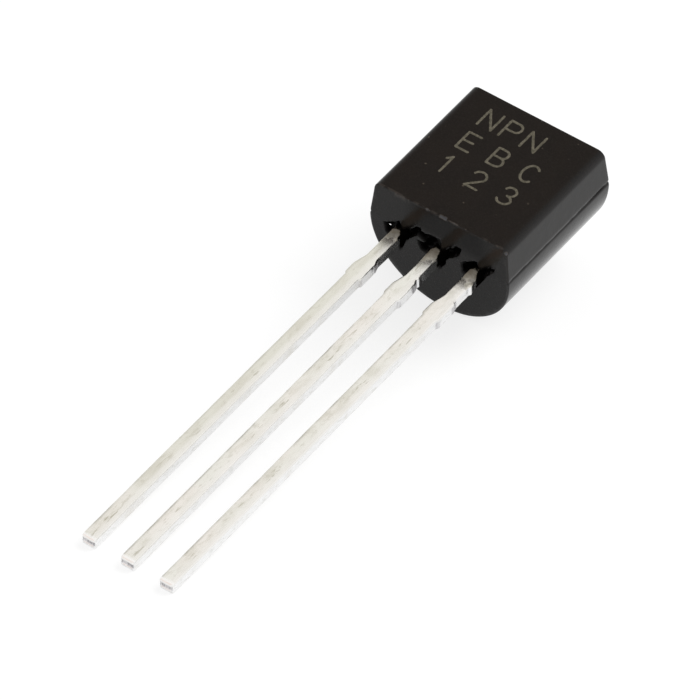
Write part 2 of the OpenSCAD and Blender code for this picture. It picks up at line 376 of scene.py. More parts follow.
def resin_film(p, across, deep, out):
    """How much of the plate a resin film dulls, within about a millimetre of the body, and its colour,
    with painted shade at its left side and next to the body.
    """
    mottle = p.noise(0.28, detail=4, roughness=0.65, stretch=(1, 1.4, 1), seed=13.0)
    film = p.scaled(p.math("ADD", out, p.scaled(mottle, 0.3, 0.7, to=(0.0, 0.5))), 1.1, 0.65)
    film = p.times(film, p.scaled(deep, 0.16, 0.04))
    grain = p.scaled(p.noise(0.09, detail=3, roughness=0.6, seed=19.0), 0.35, 0.65)
    film_and_shade = p.blend(grain, rgb(240, 236, 226), rgb(200, 195, 182))
    # Painted shade: darker towards the left side
    film_and_shade = p.blend(p.scaled(across, 0.5, -0.8, to=(0.0, 0.5)), film_and_shade, rgb(178, 168, 150))
    # Painted shade from the body, over the film's brown: darker next to the body
    film_and_shade = p.blend(p.scaled(out, 0.62, 0.2, to=(0.0, 0.65)), film_and_shade, rgb(138, 128, 112))
    return film, film_and_shade


def tinned_lead():
    """Tin plate, under a thin brown film of resin near the body and black resin at the root; both carry
    painted shade.
    """
    p = Paint("tinned_lead", Metallic=1.0)
    across, deep, out = p.mask("across"), p.mask("deep"), p.mask("out")
    cut, rim = p.mask("cut"), p.mask("rim")
    cloud = p.noise(0.45, detail=4, roughness=0.6, stretch=(1, 2.4, 1))
    fleck = p.noise(0.1, detail=3, roughness=0.6, stretch=(1, 2.6, 1), seed=5.0)
    colour = plate_colour(p, across, deep, cloud, fleck)
    film, film_and_shade = resin_film(p, across, deep, out)
    colour = p.blend(film, colour, film_and_shade)
    colour = p.blend(rim, colour, rgb(250, 249, 247))
    # Shear marks run through the thickness of the tips and of the dam-bar stubs
    shear = p.scaled(p.noise(0.07, detail=2, roughness=0.5, stretch=(1, 1, 7), seed=41.0), 0.4, 0.6)
    colour = p.blend(cut, colour, p.blend(shear, rgb(186, 184, 186), rgb(226, 225, 226)))
    dull = p.math("MAXIMUM", p.times(film, 0.6), p.times(cut, 0.6))
    dull = p.math("MAXIMUM", p.times(rim, 0.5), dull)
    shine = p.scaled(cloud, 0.3, 0.75, to=(0.16, 0.3))
    p.set(p.shader.inputs["Roughness"], p.math("MAXIMUM", shine, dull))
    scratches = p.bump(p.noise(0.03, detail=2, roughness=0.6, stretch=(1, 14, 1), seed=8.0), 0.0005)
    waves = p.noise(0.3, detail=3, roughness=0.5, stretch=(1, 1.6, 1), seed=3.0)
    normal = p.bump(waves, 0.004, scratches)
    # Black resin covers the root; it reaches furthest out along the right side, where the black is also
    # painted shade
    to_right = p.scaled(across, 0.25, 1.0, to=(0.06, 0.34))
    to_left = p.scaled(across, -0.4, -1.0, to=(0.0, 0.05))
    ragged = p.scaled(p.noise(0.12, detail=4, roughness=0.6, seed=37.0), 0.3, 0.7, to=(0.0, 0.1))
    reach = p.math("ADD", p.math("ADD", to_right, to_left), ragged)
    resin_and_shade = p.scaled(p.math("SUBTRACT", reach, out), 0.01, 0.07)
    black_finish = p.second_shader(rgb(6, 5, 4), normal, roughness=1.0, specular=0.0)
    p.set(p.surface, p.mix_shaders(resin_and_shade, p.shader.outputs[0], black_finish))
    return p.finish(colour, normal)


def marking():
    """Laser marking: the compound's surface burnt to a pale, dull grey-brown."""
    p = Paint("marking", Roughness=0.75, Specular_IOR_Level=0.2)
    colour = p.blend(p.scaled(p.noise(0.06), 0.3, 0.7), rgb(80, 76, 64), rgb(112, 106, 92))
    return p.finish(colour, p.bump(p.noise(0.03, detail=2), 0.004))


def silver_epoxy():
    """The die attach: dull silver flake in epoxy."""
    p = Paint("silver_epoxy", Metallic=0.7, Roughness=0.5)
    colour = p.blend(p.noise(0.02), rgb(150, 148, 142), rgb(205, 203, 198))
    return p.finish(colour, p.bump(p.noise(0.015, detail=2), 0.002))


def silicon():
    """The die: smooth grey silicon with a faint pattern of areas."""
    p = Paint("silicon", Metallic=0.35, Roughness=0.18)
    areas = p.scaled(p.noise(0.12, detail=2), 0.4, 0.6)
    colour = p.blend(areas, rgb(86, 90, 100), rgb(104, 106, 112))
    return p.finish(colour, p.bump(p.noise(0.03, detail=2), 0.0005))


def gold_wire():
    """The bond wires: drawn gold."""
    p = Paint("gold_wire", Metallic=1.0, Roughness=0.25)
    colour = p.blend(p.noise(0.02, detail=2), rgb(226, 178, 92), rgb(240, 198, 116))
    return p.finish(colour, p.bump(p.noise(0.01, detail=2), 0.0006))


def floor_paint():
    """A plain pale surface, which reads white to the camera, metal and gloss where it is unshaded."""
    p = Paint("floor", Roughness=0.9, Specular_IOR_Level=0.0, Emission_Color=(1, 1, 1, 1))
    path = p.add("ShaderNodeLightPath").outputs
    seen = path["Is Camera Ray"]
    off_gloss = p.math("MAXIMUM", path["Is Glossy Ray"], path["Is Transmission Ray"])
    cloud = p.scaled(p.noise(40.0, detail=2), 0.3, 0.7, to=(0.99, 1.0))
    own = p.scaled(seen, 0, 1, to=(FLOOR_COLOUR, SEEN_COLOUR))
    p.set(p.shader.inputs["Base Color"], p.times(cloud, own))
    lift = p.math("MAXIMUM", p.times(seen, SEEN_LIFT), p.times(off_gloss, FLOOR_LIFT))
    p.set(p.shader.inputs["Emission Strength"], lift)
    return p.material


# ---- Body ----

EDGE_R, EDGE_RINGS = 0.04, 7  # radius of the edges round both ends, and the rings in each
END_FINISH = 0.3  # how far the ends' finish is from the sides' towards the marked face's
FACE_FADE = math.radians(22), math.radians(99)  # slopes between which side turns to marked face
# Steps across half the flat; points round its edge, down the drafted side and round half the back
FLAT_STEPS, FLAT_EDGE_POINTS, SIDE_POINTS, BACK_POINTS = 57, 18, 14, 74
# Rings along the body: their spacing within END_ZONE of the near end and of the far one, and between
END_ZONE, NEAR_STEP, FAR_STEP, RING_STEP = 0.3, 0.03, 0.06, 0.11
NEAR_CAP_STEP, FAR_CAP_STEP = 0.034, 0.16  # spacing of the ends' inner points

GROOVE_Z, GROOVE_W, GROOVE_DEPTH = 0.03, 0.075, 0.03  # witness line of the mould's parting plane
GROOVE_NEAR, GROOVE_DEEPENS = 0.55, (2.7, 4.0)  # share of its depth near the leads, and where it deepens
GROOVE_SHADE = 0.45  # painted shade: how far its bottom takes the black finish
GROOVE_ZONE, GROOVE_STEP, BELOW_STEP = 0.12, 0.01, 0.015  # the section's points crowd round it

# Broken-out places beside the lead roots: outlines in X and Z about a lead, and for each place the
# lead's number from the middle, the outline and its size
LEFT_SCAR = ((-0.58, -0.1), (-0.3, 0.1), (-0.02, 0.24), (0.02, 0.0), (-0.12, -0.14), (-0.42, -0.56),
             (-0.56, -0.46))
RIGHT_SCAR = ((0.12, -0.08), (0.29, 0.15), (0.55, 0.38), (0.7, 0.38), (0.7, 0.12), (0.38, -0.16),
              (0.24, -0.42), (0.08, -0.8), (-0.06, -0.95), (-0.02, -0.5))
MIDDLE_SCAR = ((-0.7, 0.06), (-0.68, 0.24), (-0.26, 0.32), (0.06, 0.34), (0.04, 0.0), (-0.14, -0.2),
               (-0.4, -0.56), (-0.62, -0.42), (-0.68, -0.14), (-0.46, -0.1), (-0.46, -0.02))
SHORT_SCAR = ((0.1, -0.06), (0.22, 0.13), (0.4, 0.27), (0.56, 0.3), (0.56, 0.14), (0.3, -0.06),
              (0.2, -0.2), (0.08, -0.4), (-0.02, -0.4))
SCARS = ((-1, LEFT_SCAR, 0.95), (-1, RIGHT_SCAR, 0.9), (0, MIDDLE_SCAR, 1.0), (0, RIGHT_SCAR, 1.0),
         (1, LEFT_SCAR, 1.0), (1, SHORT_SCAR, 1.0))
SCAR_DEPTH, SCAR_WALL, SCAR_RAGGED, SCAR_EDGE = 0.14, 0.1, 0.06, 0.06
SCAR_PATCHES = 0.3  # how much weaker the black finish is in some patches of them
SCAR_NOISE_Y = 0.37  # the noise for them is read in this plane
SCARS_Z, SCARS_HALF = -0.17, 0.72  # middle and half height of the band they lie in

# Chips in the near edge of the marked face: middle, half length and size of each
CHIPS = ((-1.06, 0.08, 0.045), (-0.42, 0.13, 0.05), (0.07, 0.17, 0.08), (0.42, 0.2, 0.05),
         (0.8, 0.06, 0.04), (1.59, 0.05, 0.055), (1.85, 0.05, 0.06))
CHIP_END = 0.08  # longest run-out of a chip
CORNER_CHIP = 0.075  # size of the chip at the right end of that edge
CORNER_AT = (FLAT_W / 2 - 0.02, FRONT_INSET, FRONT_DEPTH - FLAT_EDGE_R / 2)
BITE_Y, BITE_Z, CORNER_BITE = 0.45, 0.75, 0.6  # how far a chip moves the surface, as shares of its size
EDGE_WEAR_AND_HIGHLIGHT, EDGE_LINE_W = 0.26, 0.055  # the paler line along that edge: wear, with a painted highlight
SIDE_EDGE_HIGHLIGHT, SIDE_EDGE_W = 0.07, 0.16  # and a painted highlight along the right edge of the end
# A scuffed band on the end, under that edge: middle, half length, height and paleness
SCUFF_X, SCUFF_HALF, SCUFF_W, SCUFF_WEAR = -1.27, 0.3, 0.2, 0.45
SHADE_X, SHADE_HALF, SHADE_SHARE = 0.3, 1.6, 0.34  # painted shade: the upper middle of the end takes this share of the black finish
SHADE_LOW = 0.2  # and the end below the parting plane this share


def section():
    """The body's section, clockwise from the top: points, outward normals, and the share of the marked
    face's finish at each."""
    lean = math.atan2((BODY_W - FLAT_W) / 2, FRONT_DEPTH)
    round_l = FLAT_EDGE_R / math.tan((math.pi / 2 + lean) / 2)
    flat_end, round_z = FLAT_W / 2 - round_l, FRONT_DEPTH - FLAT_EDGE_R
    half = [((x, FRONT_DEPTH), (0, 1), 1.0) for x in np.linspace(0, flat_end, FLAT_STEPS + 1)[:-1]]
    for a in np.linspace(math.pi / 2, lean, FLAT_EDGE_POINTS):
        n = (math.cos(a), math.sin(a))
        at = (flat_end + FLAT_EDGE_R * n[0], round_z + FLAT_EDGE_R * n[1])
        half.append((at, n, float(ramp(a, *FACE_FADE))))
    top_x, top_z = half[-1][0]
    coarse = np.linspace(0, 1, SIDE_POINTS)[1:] * (1 - GROOVE_ZONE / top_z)
    fine = 1 - np.arange(round(GROOVE_ZONE / GROOVE_STEP) - 1, -1, -1) * GROOVE_STEP / top_z
    n = (math.cos(lean), math.sin(lean))
    for t in np.concatenate([coarse, fine]):
        half.append(((top_x + (BODY_W / 2 - top_x) * t, top_z * (1 - t)), n, 0.0))
    half += [((BODY_W / 2, -z), (1, 0), 0.0) for z in np.arange(GROOVE_STEP, BACK_SIDE, BELOW_STEP)]
    for a in np.linspace(0, math.pi / 2, BACK_POINTS):
        n = (math.cos(a), -math.sin(a))
        half.append(((BACK_R * n[0], -BACK_SIDE + BACK_R * n[1]), n, 0.0))
    points, normals, face = (np.array(v, float) for v in zip(*half))
    flip = np.array([-1, 1])
    return (np.vstack([points, (points * flip)[-2:0:-1]]),
            np.vstack([normals, (normals * flip)[-2:0:-1]]),
            np.concatenate([face, face[-2:0:-1]]))


def end_lean(z):
    """How far each end stands in from its parting-plane position at height z."""
    z = np.asarray(z, float)
    return np.where(z > 0, FRONT_INSET * z / FRONT_DEPTH, -BACK_INSET * z / BACK_DEPTH)


def witness_line(outline, y):
    """How deep the witness line is cut at each of the section's points, at the lengths y."""
    groove = GROOVE_DEPTH * np.exp(-((outline[:, 1] - GROOVE_Z) / GROOVE_W) ** 2 * 2)
    at = np.column_stack([outline[:, 0], y, outline[:, 1]])
    cut = groove * (GROOVE_NEAR + (1 - GROOVE_NEAR) * ramp(y, *GROOVE_DEEPENS))
    return np.where(groove > 1e-4, cut * (1 + 0.5 * rough(at, 0.16, seed=21)), 0)


def body_rings(outline, normals):
    """Points of the section's rings, from the near end on, and the witness line's depth at each."""
    n = len(outline)
    lean = end_lean(outline[:, 1])
    at_end = np.column_stack([outline[:, 0], np.zeros(n), outline[:, 1]])
    wobble = 1 + 0.3 * rough(at_end, 0.5, seed=14, octaves=2)
    edge = [(EDGE_R * (1 - s), EDGE_R * (1 - c)) for s, c in quarter_turn(EDGE_RINGS)]
    along = np.concatenate([np.arange(2 * NEAR_STEP, END_ZONE, NEAR_STEP),
                            np.arange(END_ZONE + NEAR_STEP, BODY_L - END_ZONE - NEAR_STEP, RING_STEP),
                            BODY_L - np.arange(END_ZONE, FAR_STEP, -FAR_STEP)])
    along = (along - EDGE_R) / (BODY_L - 2 * EDGE_R)
    rings = [(lean + e * wobble, inset) for inset, e in edge]
    rings += [((1 - t) * (lean + EDGE_R) + t * (BODY_L - lean - EDGE_R), 0.0) for t in along]
    rings += [(BODY_L - lean - e, inset) for inset, e in edge[::-1]]
    points, cuts = [], []
    for y, inset in rings:
        cut = witness_line(outline, y)
        xz = outline - normals * (inset + cut)[:, None]
        points.append(np.column_stack([xz[:, 0], y, xz[:, 1]]))
        cuts.append(cut)
    return np.vstack(points), np.concatenate(cuts)


def pocket(x, z):
    """Depth of the broken-out places at points of the near end, and how far the surface there takes the
    black finish: broken resin, with painted shade in the hollows.
    """
    flat = np.column_stack([x, z])
    at = np.column_stack([x, np.full(len(x), SCAR_NOISE_Y), z])
    wander = SCAR_RAGGED * rough(at, 0.25, seed=5)
    sunk, broken_and_shade = np.zeros(len(x)), np.zeros(len(x))
    for k, outline, size in SCARS:
        outline = np.array(outline) * size + (k * LEAD_PITCH, 0)
        edges = [segment_distance(flat, a, b) for a, b in zip(outline, np.roll(outline, -1, 0))]
        depth_in = np.min(edges, axis=0) * np.where(inside(flat, outline), 1, -1) + wander
        sunk = np.maximum(sunk, ramp(depth_in, 0.0, SCAR_WALL))
        # Painted shade: the broken places' black finish also stands for shade in their hollows
        broken_and_shade = np.maximum(broken_and_shade, ramp(depth_in, -SCAR_EDGE, SCAR_EDGE))
    patches = ramp(rough(at, 0.3, seed=9), 0.0, 0.5)
    return (SCAR_DEPTH * sunk * (1 + 0.4 * rough(at, 0.12, seed=8, octaves=2)),
            broken_and_shade * (1 - SCAR_PATCHES * patches))


def near_detail(grid):
    """The points kept in the near end's mesh: all where it is broken or scuffed, a third elsewhere."""
    by_roots = np.abs(grid[:, 1] - SCARS_Z) < SCARS_HALF
    by_scuff = grid[:, 1] > FRONT_DEPTH - 1.5 * SCUFF_W
    return by_roots | by_scuff | scattered(grid, 9, one_in=3)


def near_end(x, z):
    """Y of the near end's inner points, and how far the surface there takes the black finish: broken
    places, and painted shade.
    """
    depth, broken_and_shade = pocket(x, z)
    # Painted shade: the upper middle of the end and the end below the parting plane take part of the black
    # finish
    dull = SHADE_SHARE * ramp(z, 0.15, 0.55) * ramp(SHADE_HALF - np.abs(x - SHADE_X), 0, 0.7)
    return end_lean(z) + depth, np.maximum(broken_and_shade, np.where(z < 0, SHADE_LOW, dull))


def far_end(x, z):
    """Y of the far end's inner points, and how broken the surface is there."""
    return BODY_L - end_lean(z), np.zeros(len(x))


def nibble(x):
    """Size of the chips along the near edge of the marked face."""
    line = np.column_stack([x, np.zeros(len(x)), np.zeros(len(x))])
    lump = 1 + 0.5 * rough(line, 0.05, seed=33, octaves=2)
    return np.max([size * lump * ramp(half - np.abs(x - middle), 0, min(half, CHIP_END))
                   for middle, half, size in CHIPS], axis=0)


def chips_and_pale_edges(points, near_count):
    """Moves points to chip the near edge of the marked face, and returns how pale each point is made:
    wear, and painted highlight along edges. The first near_count are the near end's edge."""
    away = np.hypot(points[:, 1] - FRONT_INSET, points[:, 2] - FRONT_DEPTH)
    corner = np.linalg.norm(points - CORNER_AT, axis=1)
    bite = np.maximum(np.clip(nibble(points[:, 0]) - away, 0, None),
                      CORNER_BITE * np.clip(CORNER_CHIP - corner, 0, None))
    points[:, 1] += bite * BITE_Y
    points[:, 2] -= bite * BITE_Z
    x, y, z = points.T
    ragged = 0.12 + 0.88 * ramp(rough(points, 0.3, seed=40), 0.0, 0.3)
    # Painted highlight, with wear: a paler line along the marked face's near edge
    wear_and_highlight = np.maximum(ramp(bite, 0.0, 0.05), EDGE_WEAR_AND_HIGHLIGHT * ramp(EDGE_LINE_W - away, 0, 0.03) * ragged)
    wear_and_highlight = np.maximum(wear_and_highlight, ramp(CORNER_CHIP - corner, 0, 0.05))
    # Painted highlight: a paler line down the right edge of the end
    side_edge = (y < end_lean(z) + EDGE_R) & (x > BODY_W / 2 - SIDE_EDGE_W)
    side_edge &= (z > 0) & (np.arange(len(points)) < near_count)
    wear_and_highlight = np.maximum(wear_and_highlight, SIDE_EDGE_HIGHLIGHT * side_edge)
    scuff = ramp(z, FRONT_DEPTH - SCUFF_W, FRONT_DEPTH - 0.03) * (y < FRONT_INSET + 0.02)
    scuff *= ramp(SCUFF_HALF - np.abs(x - SCUFF_X), 0, 0.1)
    scuff *= ramp(rough(points, 0.12, seed=44), -0.5, 0.3)
    return np.maximum(wear_and_highlight, SCUFF_WEAR * scuff)


def body_piece(material):
    """The moulding, with the witness line, broken-out places, chips, worn edges with painted highlights,
    and painted shade in the groove and on the near end.
    """
    outline, normals, face = section()
    n = len(outline)
    points, cuts = body_rings(outline, normals)
    rings = len(points) // n
    faces = between_rings(rings, n)
    # Painted shade: the witness line's bottom takes part of the black finish
    groove = GROOVE_SHADE * np.clip(cuts / GROOVE_DEPTH, 0, 1)
    scar_and_shade = [groove * (1 + 0.6 * rough(points, 0.3, seed=23))]
    finish = np.ones(rings)
    finish[:EDGE_RINGS] = np.linspace(END_FINISH, 1, EDGE_RINGS)
    finish[-EDGE_RINGS:] = finish[:EDGE_RINGS][::-1]
    on_face = [np.minimum(face, k) for k in finish]
    last = (rings - 1) * n
    ends = ((0, NEAR_CAP_STEP, near_detail, near_end), (last, FAR_CAP_STEP, None, far_end))
    for first, step, keep, end in ends:
        cap, triangles = fill(points[first:first + n][:, [0, 2]], step, keep)
        x, z = cap[n:].T
        y, broken_and_shade = end(x, z)
        faces += cap_faces(triangles, first, n, len(points), flip=first > 0)
        points = np.vstack([points, np.column_stack([x, y, z])])
        scar_and_shade.append(broken_and_shade)
        on_face.append(np.full(len(x), END_FINISH))
    wear_and_highlight = chips_and_pale_edges(points, EDGE_RINGS * n)
    masks = {"scar_and_shade": np.concatenate(scar_and_shade), "face": np.concatenate(on_face), "wear_and_highlight": wear_and_highlight}
    return mesh_piece("body_moulding", points, faces, material, masks, crease=math.radians(50))


# ---- Leads ----

# Roll-over at the front's edges, the burr side's edges, and the corners of the stamped outline
FRONT_R, BACK_EDGE_R, PLAN_R = 0.045, 0.025, 0.066
FRONT_RINGS, WALL_RINGS, BACK_RINGS = 6, 10, 5
# Spacing of points along the outline outside and inside the body, and on the faces
OUTSIDE_STEP, INSIDE_STEP, CAP_STEP = 0.06, 0.2, 0.075
HIDDEN_Y = 0.1  # the mesh is coarser from here inward
RIM_L, ROLL_OVER = 0.13, 0.03  # length and drop of the front where it rolls over at the tip
STEP_L, STEP_DROP = 0.09, 0.015  # the torn step where the right side of the neck widens
NECK_SHIFT = 0.035  # the neck's left side stands in this far, and its right out half as far
POST_START = 0.3  # behind the deepest broken-out place
RAG, SLOW_WANDER, QUICK_WANDER = 0.02, 0.006, 0.004  # unevenness of torn and of plated edges
# A sheared tip: depths where its rough, broken half starts and ends and where the burr starts, and
# how far back those two lie
BREAK_TOP, BREAK_LOW, BURR_DEPTH = (0.07, 0.11), (0.22, 0.26), 0.26
BREAK_IN, BURR_IN = 0.03, 0.012
FACE_WAVE = 0.005  # height of the waves in the plated faces
TARNISH_ENDS = (9, 12.5)  # the tarnish fades between these distances from the body


def smooth_corners(poly, r):
    """Rounds each corner of a closed outline."""
    out = []
    m = len(poly)
    for i in range(m):
        p, a, b = (np.array(poly[k % m], float) for k in (i, i - 1, i + 1))
        to_a, to_b = a - p, b - p
        len_a, len_b = np.linalg.norm(to_a), np.linalg.norm(to_b)
        cut = min(r, len_a / 2.2, len_b / 2.2)
        pa, pb = p + to_a / len_a * cut, p + to_b / len_b * cut
        for t in (0, 0.33, 0.67, 1):
            out.append((1 - t) ** 2 * pa + 2 * t * (1 - t) * p + t * t * pb)
    return np.array(out)


def resample(poly):
    """Adds points along a closed outline: close together outside the body, wider inside it."""
    out = []
    for a, b in zip(poly, np.roll(poly, -1, 0)):
        step = OUTSIDE_STEP if min(a[1], b[1]) < HIDDEN_Y else INSIDE_STEP
        k = max(1, math.ceil(np.linalg.norm(b - a) / step))
        out += [a + (b - a) * t / k for t in range(k)]
    return np.array(out)


def outline_normals(poly):
    """Outward mitred normals of an anticlockwise outline."""
    e = np.roll(poly, -1, 0) - poly
    e /= np.linalg.norm(e, axis=1)[:, None]
    n = np.column_stack([e[:, 1], -e[:, 0]])
    m = n + np.roll(n, 1, 0)
    m /= np.linalg.norm(m, axis=1)[:, None]
    return m / np.clip((m * n).sum(1), 0.6, 1)[:, None]


def lead_sides(tip, bumps):
    """Half widths of a lead's left and right sides against Y, from the tip to the post. A bump on the
    right has its two ends and how far it stands out."""
    dam_y, bar_y = -NECK_L - FLARE_L, -NECK_L - FLARE_L - DAM_L
    dam = LEAD_W / 2 + DAM_STEP
    neck_left, neck_right = NECK_W / 2 - NECK_SHIFT, NECK_W / 2 + NECK_SHIFT / 2
    blade = [(tip, LEAD_W / 2), (bar_y - DAM_STEP, LEAD_W / 2), (bar_y, dam), (dam_y, dam)]
    left = blade + [(-NECK_L, neck_left), (POST_START, neck_left)]
    right = blade + [(-NECK_L - STEP_L, dam - STEP_DROP), (-NECK_L, neck_right)]
    for start, end, out in bumps:
        right += [(start - 0.05, neck_right), (start, NECK_W / 2 + out),
                  (end, NECK_W / 2 + out * 0.8), (end + 0.05, neck_right)]
    return left, right + [(POST_START, neck_right)]


def post_corners(kind):
    """Corners of a lead's part inside the body, from the right of its root round to the left."""
    h, notch = POST_W / 2, POST_W / 2 - LOCK_DEPTH
    up = [(h, POST_START), (h, LOCK_Y), (notch, LOCK_Y), (notch, LOCK_Y + LOCK_L), (h, LOCK_Y + LOCK_L)]
    down = [(-x, y) for x, y in up[::-1]]
    if kind == "emitter":
        right, top = PADDLE_LEFT - FRAME_GAP + LEAD_PITCH, PADDLE_Y + EMITTER_HEAD_L
        head = [(h, PADDLE_Y), (right, PADDLE_Y), (right, top), (-h, top)]
    elif kind == "base":
        w, low = BASE_HEAD_W / 2, BASE_POST_L - BASE_HEAD_L
        head = [(h, low), (w, low), (w, BASE_POST_L), (-w, BASE_POST_L), (-w, low), (-h, low)]
    else:
        left, top = PADDLE_LEFT - LEAD_PITCH, PADDLE_Y + PADDLE_L
        head = [(h, top), (left, top), (left, PADDLE_Y), (-h, PADDLE_Y)]
    return up + head + down


def lead_rows():
    """Inset and height of each ring of a lead, from its front to its back."""
    front = [(FRONT_R * (1 - s), -FRONT_R * (1 - c)) for s, c in quarter_turn(FRONT_RINGS)]
    wall = [(0.0, -z) for z in np.linspace(FRONT_R, LEAD_T - BACK_EDGE_R, WALL_RINGS + 2)[1:-1]]
    back = [(BACK_EDGE_R * (1 - c), -LEAD_T + BACK_EDGE_R * (1 - s)) for s, c in quarter_turn(BACK_RINGS)]
    return front + wall + back


def lead_rings(poly, tip, seed):
    """Rings round a lead from its front to its back: their points, and how torn each is."""
    normals = outline_normals(poly)
    y = poly[:, 1]
    flat = np.column_stack([poly, np.zeros(len(poly))])
    stub = ramp(0.16 - np.abs(y + NECK_L + STEP_L), 0, 0.06) * (poly[:, 0] > 0)
    stub = np.maximum(stub, 0.6 * ramp(0.1 - np.abs(y + NECK_L + FLARE_L + DAM_L), 0, 0.05))
    in_body = ramp(y, -0.02, 0.06)
    wander = (SLOW_WANDER * rough(flat, 0.9, seed, octaves=2)
              + QUICK_WANDER * rough(flat, 0.2, seed + 1, octaves=2)) * (1 - in_body)
    rag = RAG * stub * rough(flat, 0.13, seed + 2, octaves=2)
    poly = poly + normals * (wander + rag)[:, None]
    at_tip = ramp(-poly[:, 1], -tip - 0.02, -tip - 0.005)
    points, torn = [], []
    for inset, z in lead_rows():
        band = ramp(-z, *BREAK_TOP) * (1 - ramp(-z, *BREAK_LOW))
        xy = poly - normals * (inset * (1 - 0.9 * in_body))[:, None]
        xy[:, 1] += at_tip * (BREAK_IN * band + BURR_IN * (z < -BURR_DEPTH))
        points.append(np.column_stack([xy, np.full(len(poly), z)]))
        torn.append(np.clip(at_tip * band + stub * ramp(-z, 0.05, 0.12), 0, 1))
    return np.vstack(points), np.concatenate(torn)


def lead_detail(grid):
    """The points kept in a lead's front and back: all outside the body, a quarter inside it."""
    return (grid[:, 1] < HIDDEN_Y) | scattered(grid, 13.3, one_in=4)


def lead_piece(name, kind, x, material, seed, tip, tarnish, bumps):
    """A plated lead with its post."""
    left, right = lead_sides(tip, bumps)
    poly = [(w, y) for y, w in right] + post_corners(kind) + [(-w, y) for y, w in left[::-1]]
    poly = resample(smooth_corners(poly, PLAN_R))
    n = len(poly)
    points, cut = lead_rings(poly, tip, seed)
    rings = len(points) // n
    faces = between_rings(rings, n, inward=True)
    for first, z in ((0, 0.0), ((rings - 1) * n, -LEAD_T)):
        cap, triangles = fill(points[first:first + n, :2], CAP_STEP, lead_detail)
        inner = cap[n:]
        faces += cap_faces(triangles, first, n, len(points), flip=first > 0)
        points = np.vstack([points, np.column_stack([inner, np.full(len(inner), z)])])
        cut = np.concatenate([cut, np.zeros(len(inner))])
    y = points[:, 1]
    half = np.where(points[:, 0] < 0, np.interp(y, *zip(*left)), np.interp(y, *zip(*right)))
    across, deep = points[:, 0] / half, -points[:, 2] / LEAD_T
    from_tip = y - tip
    rim = ramp(RIM_L - from_tip, 0, 0.05) * (deep < 0.2)
    across = np.where((from_tip < 0.04) & (deep > 0.16), 1.0, across)
    # The plated faces are never quite flat, and the front rolls over at the tip
    wave = FACE_WAVE * rough(points, 1.1, seed + 5, octaves=2) * (1 - ramp(y, -0.3, 0.0))
    rolled = np.clip(1 - from_tip / RIM_L, 0, 1) ** 2 * (1 - ramp(deep, 0.1, 0.5))
    points[:, 2] += wave - ROLL_OVER * rolled
    points[:, 0] += x
    masks = {"cut": cut, "across": across, "deep": deep, "rim": rim, "out": np.clip(-y, 0, 2),
             "tarnish": tarnish * (1 - 0.7 * ramp(-y, *TARNISH_ENDS))}
    return mesh_piece(name, points, faces, material, masks, crease=math.radians(60))


# ---- Marking ----

GLYPH_H, GLYPH_W, STROKE_W, ROW_STEP = 0.65, 0.44, 0.1, 1.01
MARK_X, ROW_Y = -1.22, 3.42  # left end of the rows, and the foot of the first
ROWS = (("NPN", 0.7), ("EBC", 1.0), ("123", 1.0))  # the rows, and the pitch of their letters
MARK_LIFT, MARK_SINK = 0.004, 0.003
MARK_RAGGED = 0.16  # unevenness of the strokes' edges
GRID = 0.016  # cells that the strokes are cut from


def arc(cx, cy, rx, ry, start, end, points=14):
    """Points along an ellipse, between two angles in degrees."""
    turns = np.radians(np.linspace(start, end, points))
    return [(cx + rx * math.cos(a), cy + ry * math.sin(a)) for a in turns]


# Strokes of each character, in a box 1 wide and 1 high
GLYPHS = {
    "N": [[(0, 0), (0, 1), (1, 0), (1, 1)]],
    "P": [[(0, 0), (0, 1)],
          [(0, 1), (0.6, 1)] + arc(0.62, 0.74, 0.36, 0.26, 90, -90) + [(0, 0.48)]],
    "E": [[(0.95, 1), (0.05, 1), (0.05, 0), (0.95, 0)], [(0.05, 0.51), (0.8, 0.51)]],
    "B": [[(0.04, 0), (0.04, 1)],
          [(0.04, 1), (0.55, 1)] + arc(0.58, 0.76, 0.33, 0.24, 90, -90) + [(0.04, 0.52)],
          [(0.04, 0.52), (0.6, 0.52)] + arc(0.62, 0.26, 0.36, 0.26, 90, -90) + [(0.04, 0)]],
    "C": [arc(0.52, 0.5, 0.5, 0.5, 48, 312, 24)],
    "1": [[(0.22, 0.8), (0.5, 1), (0.5, 0)]],
    "2": [arc(0.5, 0.72, 0.44, 0.28, 165, -30, 16) + [(0.06, 0.02), (0.96, 0.02)]],
    "3": [arc(0.48, 0.75, 0.4, 0.25, 160, -90, 16) + arc(0.48, 0.25, 0.46, 0.25, 90, -160, 16)],
}


def marking_piece(material):
    """Thin raised strokes on the marked face."""
    points, faces, height = [], [], []
    for row, (word, pitch) in enumerate(ROWS):
        foot = ROW_Y - row * ROW_STEP
        for k, letter in enumerate(word):
            lines = [[(MARK_X + k * pitch + u * GLYPH_W, foot + v * GLYPH_H) for u, v in line]
                     for line in GLYPHS[letter]]
            add_glyph(lines, points, faces, height, level=(row * 5 + k) * 1.3)
    points = np.array(points)
    n = len(points)
    top = FRONT_DEPTH - MARK_SINK + (MARK_LIFT + MARK_SINK) * ramp(np.array(height), 0, STROKE_W * 0.3)
    under = np.full(n, FRONT_DEPTH - 3 * MARK_SINK)
    both = np.vstack([np.column_stack([points, top]), np.column_stack([points, under])])
    edges = [(a, b) for f in faces for a, b in zip(f, f[1:] + f[:1])]
    known = set(edges)
    border = [(a, b) for a, b in edges if (b, a) not in known]
    walls = [[b, a, a + n, b + n] for a, b in border]
    faces = faces + [[i + n for i in f[::-1]] for f in faces] + walls
    return mesh_piece("face_marking", both, faces, material)


